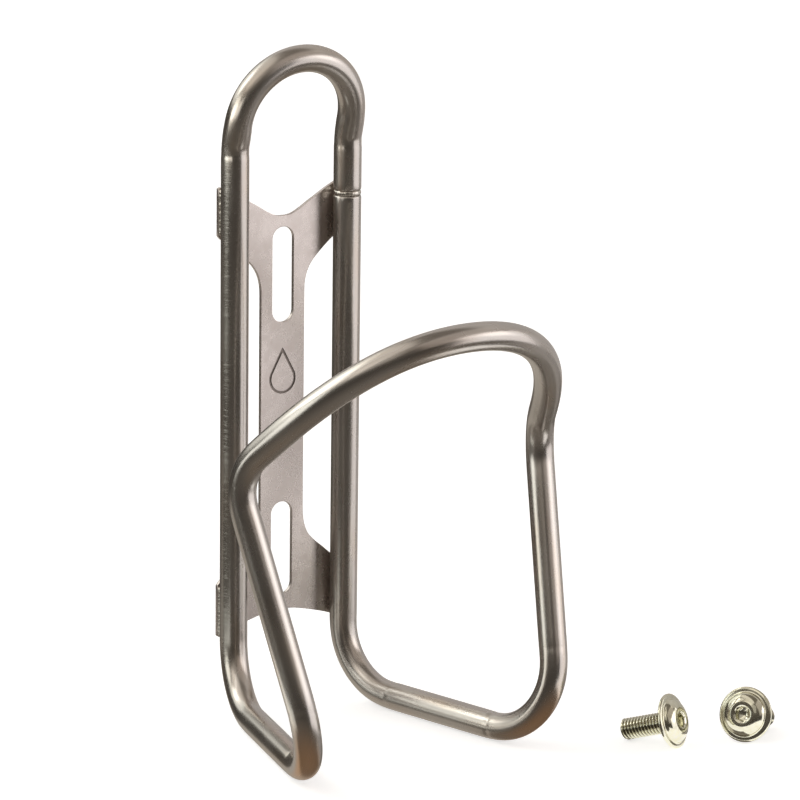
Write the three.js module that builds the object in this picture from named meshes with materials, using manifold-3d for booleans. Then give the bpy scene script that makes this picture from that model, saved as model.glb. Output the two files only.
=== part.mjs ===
// Water bottle cage for a bicycle: one closed loop of bent round tube, a slotted mounting plate
// welded across its two rails, and the pair of flanged button-head bolts that fasten it.
// Millimetres, +Z up, -Y towards the bottle, +Y towards the bicycle frame. The origin is the
// middle of the plate's back face, halfway between its two bolt slots.
import * as THREE from "three";
import { mergeVertices } from "three/addons/utils/BufferGeometryUtils.js";
import Module from "manifold-3d";

const wasm = await Module();
wasm.setup();

// ---------------------------------------------------------------- driving dimensions
const TUBE_R = 3.175; // 1/4 inch tube
const BORE_R = 2.675;
const PLATE_T = 0.9;
const GAP = 0.3; // left between pieces that touch
const RAIL_Y = -(PLATE_T + GAP + TUBE_R); // rail axis ahead of the plate's back face
const RAIL_X = 14.77; // half the distance between rail axes

// top bow: a half circle leaned forward from a slight kink in the rails
const KINK_Z = 62.83;
const KINK_R = 11;
const BOW_LEAN = 0.2347;
const BOW_RISE = 5.34; // from kink to the half circle's centre

// bottom arms, strands and hoop (right side; the left side is its mirror image)
const ARM_Z = -65.28;
const RAIL_BEND_R = 14.94;
const FOOT = new THREE.Vector3(30.71, RAIL_Y - 64.97, ARM_Z);
const FOOT_BEND_R = 14.6;
const ELBOW = new THREE.Vector3(39.6, RAIL_Y - 41.44, 0.6);
const ELBOW_BEND_R = 11.5;
const HOOP_AZ = -0.4841; // direction in which the hoop leaves the elbow
const HOOP_EL = 0.7075;
const HOOP_START = 6.13; // curve handles
const HOOP_END = 26.63;
const HOOP_FRONT = new THREE.Vector3(0, RAIL_Y - 72.26, 32.15);

// butt joint of the loop's two ends, in the right rail
const SEAM_Z = 50.2;
const SEAM_GAP = 1.2;
const SLEEVE_R = BORE_R - GAP;
const SLEEVE_L = 16;

// plate
const SLOT_PITCH = 64;
const SLOT_L = 22;
const SLOT_W = 5.5;
const STRIP_HALF = 5.75;
const WING_X = 17;
const DROP_R = 3.5; // plain water-drop outline engraved between the slots
const DROP_TIP = 7.4;
const DROP_Z = 7.9;
const MARK_LINE = 0.6;
const MARK_DEPTH = 0.25;

// bolts: M5 x 12, flanged button head, 3 mm hex socket
const THREAD_R = 2.45;
const THREAD_L = 12;
const END_CHAMFER = 0.4;
const FLANGE_R = 6.25;
const FLANGE_T = 0.95;
const DOME_R = 4.9;
const HEAD_H = 2.75;
const CROWN_R = 2.9;
const HEX_AF = 3;
const HEX_DEPTH = 1.9;
const FLOOR_Z = ARM_Z - TUBE_R; // the arms and the loose bolts stand on this level

// ---------------------------------------------------------------- solids
function toSolid(geometry) {
  const g = geometry.clone();
  g.deleteAttribute("normal");
  g.deleteAttribute("uv");
  const m = mergeVertices(g, 1e-4);
  const made = new wasm.Manifold(
    new wasm.Mesh({
      numProp: 3,
      vertProperties: new Float32Array(m.attributes.position.array),
      triVerts: new Uint32Array(m.index.array),
    }),
  );
  return made;
}

function fromSolid(solid) {
  const m = solid.getMesh();
  const g = new THREE.BufferGeometry();
  g.setAttribute("position", new THREE.BufferAttribute(new Float32Array(m.vertProperties), 3));
  g.setIndex(new THREE.BufferAttribute(new Uint32Array(m.triVerts), 1));
  g.computeVertexNormals();
  return g;
}

// ---------------------------------------------------------------- centre line of the loop
function lineTo(pts, q, step = 0.25) {
  const p = pts[pts.length - 1];
  const n = Math.max(1, Math.ceil(p.distanceTo(q) / step));
  for (let i = 1; i <= n; i++) pts.push(p.clone().lerp(q, i / n));
}

// arc of radius r that rounds the corner c between p and q
function fillet(p, c, q, r, step = 0.25) {
  const a = p.clone().sub(c).normalize();
  const b = q.clone().sub(c).normalize();
  const turn = Math.PI - Math.acos(THREE.MathUtils.clamp(a.dot(b), -1, 1));
  const t = r * Math.tan(turn / 2);
  const centre = c.clone().addScaledVector(a.clone().add(b).normalize(), r / Math.cos(turn / 2));
  const v0 = c.clone().addScaledVector(a, t).sub(centre);
  const v1 = c.clone().addScaledVector(b, t).sub(centre);
  const n = Math.max(4, Math.ceil((turn * r) / step));
  const out = [];
  for (let i = 0; i <= n; i++) {
    const th = (turn * i) / n;
    out.push(
      centre
        .clone()
        .addScaledVector(v0, Math.sin(turn - th) / Math.sin(turn))
        .addScaledVector(v1, Math.sin(th) / Math.sin(turn)),
    );
  }
  return out;
}

function bend(pts, c, q, r) {
  const arc = fillet(pts[pts.length - 1], c, q, r);
  lineTo(pts, arc[0]);
  pts.push(...arc.slice(1));
}

// right half, from the middle of the bow to the middle of the hoop
function halfLoop() {
  const kink = new THREE.Vector3(RAIL_X, RAIL_Y, KINK_Z);
  const up = new THREE.Vector3(0, -Math.sin(BOW_LEAN), Math.cos(BOW_LEAN));
  const centre = new THREE.Vector3(0, RAIL_Y, KINK_Z).addScaledVector(up, BOW_RISE);
  const pts = [];
  const n = 100;
  for (let i = 0; i <= n; i++) {
    const th = (Math.PI / 2) * (1 - i / n);
    pts.push(
      centre
        .clone()
        .add(new THREE.Vector3(RAIL_X * Math.cos(th), 0, 0))
        .addScaledVector(up, RAIL_X * Math.sin(th)),
    );
  }
  const corner = new THREE.Vector3(RAIL_X, RAIL_Y, ARM_Z);
  bend(pts, kink, corner, KINK_R);
  bend(pts, corner, FOOT, RAIL_BEND_R);
  bend(pts, FOOT, ELBOW, FOOT_BEND_R);
  const leave = new THREE.Vector3(
    Math.sin(HOOP_AZ) * Math.cos(HOOP_EL),
    -Math.cos(HOOP_AZ) * Math.cos(HOOP_EL),
    Math.sin(HOOP_EL),
  );
  bend(pts, ELBOW, ELBOW.clone().addScaledVector(leave, 50), ELBOW_BEND_R);
  const start = pts[pts.length - 1];
  const hoop = new THREE.CubicBezierCurve3(
    start,
    start.clone().addScaledVector(leave, HOOP_START),
    HOOP_FRONT.clone().add(new THREE.Vector3(HOOP_END, 0, 0)),
    HOOP_FRONT,
  );
  pts.push(...hoop.getPoints(300).slice(1));
  return pts;
}

// whole loop: up from the seam, over the bow, down the left rail, round the hoop, back to the seam
function loopCentreLine() {
  const half = halfLoop();
  const at = half.findIndex((p, i) => i > 120 && p.z <= SEAM_Z && Math.abs(p.y - RAIL_Y) < 0.01);
  const upper = [new THREE.Vector3(RAIL_X, RAIL_Y, SEAM_Z + SEAM_GAP / 2)];
  for (let i = at - 1; i >= 0; i--) if (half[i].z > SEAM_Z + SEAM_GAP / 2 + 0.1) upper.push(half[i].clone());
  const left = half.slice(1).map((p) => new THREE.Vector3(-p.x, p.y, p.z));
  const lower = [];
  for (let i = half.length - 2; i >= at; i--) if (half[i].z < SEAM_Z - SEAM_GAP / 2 - 0.1 || i > 400) lower.push(half[i].clone());
  lower.push(new THREE.Vector3(RAIL_X, RAIL_Y, SEAM_Z - SEAM_GAP / 2));
  return [...upper, ...left, ...lower];
}

// A curve through dense points whose equal steps are closer together in its bends than on its
// straights: turn is the angle, in radians, and reach the length, in mm, of the longest step.
class BendCurve extends THREE.Curve {
  constructor(points, turn, reach) {
    super();
    this.p = points;
    this.s = [0];
    for (let i = 1; i < points.length; i++) this.s.push(this.s[i - 1] + points[i].distanceTo(points[i - 1]));
    const cost = [0];
    for (let i = 1; i < points.length; i++) {
      const d = this.s[i] - this.s[i - 1];
      const a = this.dir(i - 1).angleTo(this.dir(i));
      cost.push(cost[i - 1] + Math.max(d / reach, a / turn));
    }
    this.cost = cost;
    this.steps = Math.ceil(cost[cost.length - 1]);
  }
  dir(i) {
    const a = Math.max(0, i - 1);
    const b = Math.min(this.p.length - 1, i + 1);
    return this.p[b].clone().sub(this.p[a]).normalize();
  }
  find(u) {
    const want = u * this.cost[this.cost.length - 1];
    let lo = 0;
    let hi = this.cost.length - 1;
    while (hi - lo > 1) {
      const mid = (lo + hi) >> 1;
      if (this.cost[mid] <= want) lo = mid;
      else hi = mid;
    }
    return [lo, (want - this.cost[lo]) / (this.cost[hi] - this.cost[lo] || 1)];
  }
  getPointAt(u, target = new THREE.Vector3()) {
    const [i, t] = this.find(u);
    return target.copy(this.p[i]).lerp(this.p[i + 1], t);
  }
  getPoint(u, target) {
    return this.getPointAt(u, target);
  }
  getTangentAt(u, target = new THREE.Vector3()) {
    const [i, t] = this.find(u);
    return target.copy(this.dir(i)).lerp(this.dir(i + 1), t).normalize();
  }
  getTangent(u, target) {
    return this.getTangentAt(u, target);
  }
}

function ring(radius, sides, phase = 0) {
  return Array.from({ length: sides }, (_, i) => {
    const a = phase + (2 * Math.PI * i) / sides;
    return new THREE.Vector2(radius * Math.cos(a), radius * Math.sin(a));
  });
}

function tubeLoop() {
  const curve = new BendCurve(loopCentreLine(), THREE.MathUtils.degToRad(11), 40);
  const section = new THREE.Shape(ring(TUBE_R, 14));
  section.holes.push(new THREE.Path(ring(BORE_R, 8)));
  return new THREE.ExtrudeGeometry(section, { steps: curve.steps, extrudePath: curve });
}

// ---------------------------------------------------------------- plate
// right-hand outline, from the middle of the top edge clockwise to the middle of the bottom edge
const PLATE_EDGE = [
  [0, 45.6], [1.8, 45.75], [3.2, 46.3], [4.6, 47.05], [6.3, 48.1], [8.3, 49.25], [10.5, 50.55],
  [12.95, 51.85], [15, 52.75], [16.6, 53.35], [WING_X, 53.1],
  [WING_X, 42.4], [16.7, 41.95], [15, 40.75], [12.94, 39.25], [10.9, 37.55], [9.2, 35.95], [8.05, 34.75],
  [6.95, 33.15], [6.2, 31.3], [5.83, 29.4], [STRIP_HALF, 27.6],
  [STRIP_HALF, -22.2], [5.85, -24.9], [6.3, -27.3], [7.2, -29.35], [8.66, -31.0], [11.04, -33.0],
  [13.27, -34.95], [15.2, -36.7], [16.7, -38.15], [WING_X, -38.6],
  [WING_X, -50.45], [16.6, -50.75], [15, -50.2], [13.3, -49.45], [10.8, -48.6], [8.5, -47.95], [6, -47.3],
  [3.2, -46.75], [0, -46.5],
];

function slotPath(z, width = SLOT_W, length = SLOT_L, n = 10) {
  const r = width / 2;
  const h = length / 2 - r;
  const pts = [];
  for (let i = 0; i <= n; i++) {
    const a = (Math.PI * i) / n;
    pts.push(new THREE.Vector2(r * Math.cos(a), z + h + r * Math.sin(a)));
  }
  for (let i = 0; i <= n; i++) {
    const a = Math.PI + (Math.PI * i) / n;
    pts.push(new THREE.Vector2(r * Math.cos(a), z - h + r * Math.sin(a)));
  }
  return pts;
}

// A plain water drop, point up: a circle and its two tangents from the tip
function drop(scale = 1, n = 20) {
  const r = DROP_R * scale;
  const reach = DROP_TIP * scale;
  const open = Math.acos(r / reach); // angle from the tip's direction to the tangent points
  const pts = [new THREE.Vector2(0, DROP_Z + reach)];
  for (let i = 0; i <= n; i++) {
    const a = Math.PI / 2 + open + ((2 * Math.PI - 2 * open) * i) / n;
    pts.push(new THREE.Vector2(r * Math.cos(a), DROP_Z + r * Math.sin(a)));
  }
  return pts;
}

// Extrudes a shape drawn in x and z by thick, from y0 towards +Y
function slab(shape, y0, thick) {
  const g = new THREE.ExtrudeGeometry(shape, { depth: thick, bevelEnabled: false, curveSegments: 1 });
  g.rotateX(Math.PI / 2); // drawing plane to XZ, thickness towards -Y
  g.translate(0, y0 + thick, 0);
  return g;
}

function mountPlate() {
  const right = PLATE_EDGE.map(([x, z]) => new THREE.Vector2(x, z));
  const left = PLATE_EDGE.slice(1, -1).reverse().map(([x, z]) => new THREE.Vector2(-x, z));
  const outline = new THREE.Shape([...right, ...left].reverse());
  for (const z of [SLOT_PITCH / 2, -SLOT_PITCH / 2]) outline.holes.push(new THREE.Path(slotPath(z)));
  const plate = toSolid(slab(outline, -PLATE_T, PLATE_T));
  const mark = new THREE.Shape(drop());
  mark.holes.push(new THREE.Path(drop(1 - MARK_LINE / DROP_R)));
  const groove = toSolid(slab(mark, -PLATE_T - 1, 1 + MARK_DEPTH));
  return fromSolid(plate.subtract(groove));
}

// ---------------------------------------------------------------- joints of the frame
// bead in the wedge between a rail's back and the plate's face, outside the rail
function weldBead(side, z0, z1) {
  const y = -PLATE_T - GAP;
  const r = TUBE_R + GAP;
  const on = (a) => [RAIL_X + r * Math.sin(a), RAIL_Y + r * Math.cos(a)];
  const pts = [[17.25, y], [16.35, y], on(0.5), on(0.62), on(0.75), [17.45, y - 0.75]];
  const shape = new THREE.Shape(pts.map(([x, yy]) => new THREE.Vector2(side * x, yy)));
  const g = new THREE.ExtrudeGeometry(shape, { depth: z1 - z0, bevelEnabled: false });
  g.translate(0, 0, z0);
  return g;
}

function seamBead() {
  const h = SEAM_GAP / 2 - GAP;
  const pts = [[2.62, -h], [2.98, -h], [3.1, 0], [2.98, h], [2.62, h], [2.62, -h]];
  const g = new THREE.LatheGeometry(pts.map(([r, y]) => new THREE.Vector2(r, y)), 20);
  g.rotateX(Math.PI / 2);
  g.translate(RAIL_X, RAIL_Y, SEAM_Z);
  return g;
}

function jointSleeve() {
  const h = SLEEVE_L / 2;
  const r = SLEEVE_R * Math.cos(Math.PI / 8) ; // stays clear of the bore's flats
  const pts = [[0, -h], [r - 0.5, -h], [r, -h + 0.6], [r, h - 0.6], [r - 0.5, h], [0, h]];
  const g = new THREE.LatheGeometry(pts.map(([a, y]) => new THREE.Vector2(a, y)), 16);
  g.rotateX(Math.PI / 2);
  g.translate(RAIL_X, RAIL_Y, SEAM_Z);
  return g;
}

// ---------------------------------------------------------------- bolts
// thread end at the origin, head towards +Y, before it is laid down
function boltSolid() {
  const L = THREAD_L;
  const profile = [
    [0, 0], [THREAD_R - 0.4, 0], [THREAD_R, END_CHAMFER], [THREAD_R, L],
    [FLANGE_R, L], [FLANGE_R, L + 0.55], [FLANGE_R - 0.35, L + FLANGE_T - 0.05], [DOME_R, L + FLANGE_T + 0.05],
    [4.45, L + 1.6], [3.75, L + 2.3], [CROWN_R, L + HEAD_H - 0.03], [0, L + HEAD_H],
  ];
  const body = toSolid(new THREE.LatheGeometry(profile.map(([r, y]) => new THREE.Vector2(r, y)), 28));
  const hex = new THREE.ExtrudeGeometry(new THREE.Shape(ring(HEX_AF / Math.sqrt(3), 6)), {
    depth: HEX_DEPTH + 1,
    bevelEnabled: false,
  });
  hex.rotateX(-Math.PI / 2);
  hex.translate(0, L + HEAD_H - HEX_DEPTH, 0);
  return fromSolid(body.subtract(toSolid(hex)));
}

// A loose bolt lies on the rim of its flange and on the end of its thread. foot is the point
// where the rim touches, back the heading from the head to the thread's end, in the plan.
const LIE = Math.atan2(FLANGE_R - THREAD_R, THREAD_L - END_CHAMFER);
function layBolt(mesh, foot, back) {
  const ahead = new THREE.Vector3(-Math.cos(back), -Math.sin(back), 0);
  const axis = ahead.clone().multiplyScalar(Math.cos(LIE)).setZ(Math.sin(LIE));
  const down = ahead.clone().multiplyScalar(Math.sin(LIE)).setZ(-Math.cos(LIE));
  const side = new THREE.Vector3().crossVectors(axis, down);
  mesh.quaternion.setFromRotationMatrix(new THREE.Matrix4().makeBasis(down, axis, side.negate()));
  mesh.position
    .set(foot[0], foot[1], FLOOR_Z)
    .addScaledVector(axis, -THREAD_L)
    .addScaledVector(down, -FLANGE_R);
}

// ---------------------------------------------------------------- assembly
const titanium = { color: 0x8a827b, roughness: 0.38, metalness: 1 };
const sheet = { color: 0xa79b95, roughness: 0.45, metalness: 1 };
const bead = { color: 0xb5aca2, roughness: 0.35, metalness: 1 };
const nickel = { color: 0xc9c5b4, roughness: 0.18, metalness: 1 };

const cage = new THREE.Group();
function add(name, geometry, look, group = cage) {
  const mesh = new THREE.Mesh(geometry, new THREE.MeshStandardMaterial(look));
  mesh.name = name;
  group.add(mesh);
  return mesh;
}

add("tube_loop", tubeLoop(), titanium);
add("joint_sleeve", jointSleeve(), bead);
add("seam_weld", seamBead(), bead);
add("mount_plate", mountPlate(), sheet);
const UPPER = [42.6, 52.9];
const LOWER = [-50.3, -39.0];
add("weld_upper_right", weldBead(1, ...UPPER), bead);
add("weld_upper_left", weldBead(-1, ...UPPER), bead);
add("weld_lower_right", weldBead(1, ...LOWER), bead);
add("weld_lower_left", weldBead(-1, ...LOWER), bead);

const bolt = boltSolid();
layBolt(add("bolt_left", bolt, nickel), [57.9, -76.9], Math.atan2(0.876, -0.481));
layBolt(add("bolt_right", bolt.clone(), nickel), [72.9, -80.75], Math.atan2(0.496, 0.868));

export default cage;
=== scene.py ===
# Bicycle water bottle cage in satin titanium, with its two plated button-head bolts.
# Lengths are worked out in millimetres in the row frame and turned to metres by MM.
import math

import bpy
import numpy as np
from mathutils import Matrix, Vector


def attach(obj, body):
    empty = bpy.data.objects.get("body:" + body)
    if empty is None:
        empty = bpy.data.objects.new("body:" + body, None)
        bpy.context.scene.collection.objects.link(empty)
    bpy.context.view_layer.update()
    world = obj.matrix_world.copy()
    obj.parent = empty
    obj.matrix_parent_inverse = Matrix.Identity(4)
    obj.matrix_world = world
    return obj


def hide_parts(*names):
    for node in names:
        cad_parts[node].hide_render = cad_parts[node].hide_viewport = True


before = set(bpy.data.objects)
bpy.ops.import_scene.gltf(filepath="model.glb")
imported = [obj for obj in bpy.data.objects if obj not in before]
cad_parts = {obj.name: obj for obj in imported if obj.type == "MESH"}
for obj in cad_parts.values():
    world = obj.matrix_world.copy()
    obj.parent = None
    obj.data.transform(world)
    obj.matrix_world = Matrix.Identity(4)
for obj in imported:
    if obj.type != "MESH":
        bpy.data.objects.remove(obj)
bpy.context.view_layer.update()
MM = 0.001


# ------------------------------------------------------------------ numbers shared with the CAD
TUBE_R, BORE_R = 3.175, 2.675
PLATE_T, GAP = 0.9, 0.3
RAIL_X, RAIL_Y = 14.77, -(PLATE_T + GAP + TUBE_R)
KINK_Z, KINK_R, BOW_LEAN, BOW_RISE = 62.83, 11.0, 0.2347, 5.34
ARM_Z, RAIL_BEND_R = -65.28, 14.94
FOOT, FOOT_BEND_R = np.array([30.71, RAIL_Y - 64.97, ARM_Z]), 14.6
ELBOW, ELBOW_BEND_R = np.array([39.6, RAIL_Y - 41.44, 0.6]), 11.5
HOOP_AZ, HOOP_EL, HOOP_START, HOOP_END = -0.4841, 0.7075, 6.13, 26.63
HOOP_FRONT = np.array([0.0, RAIL_Y - 72.26, 32.15])
SEAM_Z, SEAM_GAP = 50.2, 1.2
SLOT_PITCH, SLOT_L, SLOT_W, STRIP_HALF, WING_X = 64.0, 22.0, 5.5, 5.75, 17.0
DROP_R, DROP_TIP, DROP_Z, MARK_LINE, MARK_DEPTH = 3.5, 7.4, 7.9, 0.6, 0.25
THREAD_R, THREAD_L, END_CHAMFER, FLANGE_R = 2.45, 12.0, 0.4, 6.25
FLOOR_Z = ARM_Z - TUBE_R
LIE = math.atan2(FLANGE_R - THREAD_R, THREAD_L - END_CHAMFER)
BOLTS = {
    "bolt_left": ((57.9, -76.9), math.atan2(0.876, -0.481)),
    "bolt_right": ((72.9, -80.75), math.atan2(0.496, 0.868)),
}
PLATE_EDGE = [
    (0, 45.6), (1.8, 45.75), (3.2, 46.3), (4.6, 47.05), (6.3, 48.1), (8.3, 49.25), (10.5, 50.55),
    (12.95, 51.85), (15, 52.75), (16.6, 53.35), (WING_X, 53.1),
    (WING_X, 42.4), (16.7, 41.95), (15, 40.75), (12.94, 39.25), (10.9, 37.55), (9.2, 35.95), (8.05, 34.75),
    (6.95, 33.15), (6.2, 31.3), (5.83, 29.4), (STRIP_HALF, 27.6),
    (STRIP_HALF, -22.2), (5.85, -24.9), (6.3, -27.3), (7.2, -29.35), (8.66, -31.0), (11.04, -33.0),
    (13.27, -34.95), (15.2, -36.7), (16.7, -38.15), (WING_X, -38.6),
    (WING_X, -50.45), (16.6, -50.75), (15, -50.2), (13.3, -49.45), (10.8, -48.6), (8.5, -47.95), (6, -47.3),
    (3.2, -46.75), (0, -46.5),
]


def unit(v):
    v = np.asarray(v, float)
    return v / np.linalg.norm(v)


# ------------------------------------------------------------------ camera
CAM_AZ, CAM_EL, CAM_ROLL = -0.5803, 0.2346, -0.0130
CAM_D, CAM_F, CAM_U0, CAM_V0 = 949.17, 4185.40, 290.20, 412.00


def make_camera():
    right = np.array([math.cos(CAM_AZ), math.sin(CAM_AZ), 0.0])
    back = np.array([math.sin(CAM_AZ) * math.cos(CAM_EL), -math.cos(CAM_AZ) * math.cos(CAM_EL), math.sin(CAM_EL)])
    up = np.cross(back, right)
    c, s = math.cos(CAM_ROLL), math.sin(CAM_ROLL)
    r2, u2 = c * right - s * up, s * right + c * up
    where = r2 * (-(CAM_U0 - 400) * CAM_D / CAM_F) + u2 * ((CAM_V0 - 400) * CAM_D / CAM_F) + back * CAM_D
    where = where + np.array([0.0, RAIL_Y, 0.8])
    data = bpy.data.cameras.new("photo_camera")
    data.sensor_width = 36.0
    data.lens = 36.0 * CAM_F / 800.0
    data.clip_start, data.clip_end = 0.01, 50.0
    cam = bpy.data.objects.new("photo_camera", data)
    bpy.context.scene.collection.objects.link(cam)
    m = Matrix(((r2[0], u2[0], back[0], 0), (r2[1], u2[1], back[1], 0), (r2[2], u2[2], back[2], 0), (0, 0, 0, 1)))
    cam.matrix_world = Matrix.Translation(Vector(where * MM)) @ m
    bpy.context.scene.camera = cam


make_camera()


# ------------------------------------------------------------------ mesh helpers
def new_mesh(name, verts, faces, sharp=None):
    mesh = bpy.data.meshes.new(name)
    mesh.from_pydata([tuple(v) for v in np.asarray(verts, float) * MM], [], faces)
    mesh.validate()
    mesh.update()
    mesh.shade_smooth()
    if sharp is not None:
        mesh.set_sharp_from_angle(angle=math.radians(sharp))
    obj = bpy.data.objects.new(name, mesh)
    bpy.context.scene.collection.objects.link(obj)
    return obj


def vector_attribute(obj, name, values):
    a = obj.data.attributes.new(name, "FLOAT_VECTOR", "POINT")
    a.data.foreach_set("vector", np.asarray(values, np.float32).ravel())


def fillet(p, c, q, r, step=0.25):
    a, b = unit(p - c), unit(q - c)
    turn = math.pi - math.acos(max(-1.0, min(1.0, float(a @ b))))
    t = r * math.tan(turn / 2)
    centre = c + unit(a + b) * (r / math.cos(turn / 2))
    v0, v1 = c + a * t - centre, c + b * t - centre
    n = max(4, math.ceil(turn * r / step))
    th = turn * np.arange(n + 1) / n
    return [centre + (math.sin(turn - x) * v0 + math.sin(x) * v1) / math.sin(turn) for x in th]


def line_to(pts, q, step=0.25):
    p = pts[-1]
    n = max(1, math.ceil(np.linalg.norm(q - p) / step))
    pts.extend(p + (q - p) * i / n for i in range(1, n + 1))


def half_loop():
    up = np.array([0, -math.sin(BOW_LEAN), math.cos(BOW_LEAN)])
    kink = np.array([RAIL_X, RAIL_Y, KINK_Z])
    centre = np.array([0, RAIL_Y, KINK_Z]) + up * BOW_RISE
    pts = [
        centre + np.array([RAIL_X * math.cos(t), 0, 0]) + up * RAIL_X * math.sin(t)
        for t in np.linspace(math.pi / 2, 0, 101)
    ]

    def bend(c, q, r):
        arc = fillet(pts[-1], c, q, r)
        line_to(pts, arc[0])
        pts.extend(arc[1:])

    corner = np.array([RAIL_X, RAIL_Y, ARM_Z])
    bend(kink, corner, KINK_R)
    bend(corner, FOOT, RAIL_BEND_R)
    bend(FOOT, ELBOW, FOOT_BEND_R)
    leave = np.array([
        math.sin(HOOP_AZ) * math.cos(HOOP_EL), -math.cos(HOOP_AZ) * math.cos(HOOP_EL), math.sin(HOOP_EL)])
    bend(ELBOW, ELBOW + leave * 50, ELBOW_BEND_R)
    s = pts[-1]
    a, b = s + leave * HOOP_START, HOOP_FRONT + np.array([HOOP_END, 0, 0])
    for t in np.linspace(0, 1, 301)[1:]:
        pts.append((1 - t) ** 3 * s + 3 * (1 - t) ** 2 * t * a + 3 * (1 - t) * t * t * b + t ** 3 * HOOP_FRONT)
    return np.array(pts)


def loop_line():
    half = half_loop()
    at = next(i for i in range(120, len(half)) if half[i, 2] <= SEAM_Z and abs(half[i, 1] - RAIL_Y) < 0.01)
    top = np.array([RAIL_X, RAIL_Y, SEAM_Z + SEAM_GAP / 2])
    low = np.array([RAIL_X, RAIL_Y, SEAM_Z - SEAM_GAP / 2])
    upper = [top] + [p for p in half[:at][::-1] if p[2] > top[2] + 0.1]
    left = [p * (-1, 1, 1) for p in half[1:]]
    lower = [p for i, p in list(enumerate(half))[at:-1][::-1] if p[2] < low[2] - 0.1 or i > 400]
    return np.array(upper + left + lower + [low])


def resample(p, fine, coarse):
    """Stations along a dense line: fine apart in bends, coarse apart on straights."""
    d = np.linalg.norm(np.diff(p, axis=0), axis=1)
    s = np.r_[0, np.cumsum(d)]
    t = np.gradient(p, s, axis=0)
    t /= np.linalg.norm(t, axis=1)[:, None]
    k = np.linalg.norm(np.gradient(t, s, axis=0), axis=1)
    k = np.convolve(np.pad(k, 8, mode="edge"), np.ones(17) / 17, mode="valid")
    want = np.where(k > 0.004, fine, coarse)
    want = np.minimum(want, np.interp(s, s, np.minimum.accumulate(want)) + 10)
    cost = np.r_[0, np.cumsum(d / ((want[1:] + want[:-1]) / 2))]
    n = int(math.ceil(cost[-1]))
    at = np.interp(np.linspace(0, cost[-1], n + 1), cost, s)
    pts = np.stack([np.interp(at, s, p[:, i]) for i in range(3)], 1)
    tan = np.stack([np.interp(at, s, t[:, i]) for i in range(3)], 1)
    tan /= np.linalg.norm(tan, axis=1)[:, None]
    curv = np.gradient(tan, at, axis=0)
    return pts, tan, at, curv


def smooth_rows(a, n):
    w = np.hanning(n + 2)[1:-1]
    w /= w.sum()
    pad = np.pad(a, ((n // 2, n // 2), (0, 0)), mode="edge")
    return np.stack([np.convolve(pad[:, i], w, mode="valid") for i in range(a.shape[1])], 1)


def sweep_frames(tan):
    """Side vectors carried along the line without twist, starting square to the rail."""
    n = np.zeros_like(tan)
    n[0] = unit(np.cross(tan[0], [0, 1, 0]))
    for i in range(1, len(tan)):
        v = n[i - 1] - tan[i] * (n[i - 1] @ tan[i])
        n[i] = v / np.linalg.norm(v)
    return n, np.cross(tan, n)


def nearest(pts, where):
    return int(np.argmin(np.linalg.norm(pts - np.array(where), axis=1)))


def relaxed(line):
    """The line with its bends eased in and out over a few millimetres; the two kinks under the bow stay crisp."""
    d = np.r_[0, np.cumsum(np.linalg.norm(np.diff(line, axis=0), axis=1))]
    at = np.linspace(0, d[-1], int(d[-1] / 0.2) + 1)
    p = np.stack([np.interp(at, d, line[:, i]) for i in range(3)], 1)
    step = at[1]
    w = np.exp(-((np.arange(-30, 31) * step) / 1.9) ** 2)
    w /= w.sum()
    soft = np.stack([np.convolve(np.pad(p[:, i], 30, mode="edge"), w, mode="valid") for i in range(3)], 1)
    kink = np.minimum(*(np.linalg.norm(p - np.array([sx * RAIL_X, RAIL_Y, KINK_Z]), axis=1) for sx in (1, -1)))
    keep = np.clip((kink - 3.5) / 4.0, 0, 1) * np.clip(np.minimum(at, d[-1] - at) / 8.0, 0, 1)
    return p + (soft - p) * keep[:, None]


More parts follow.
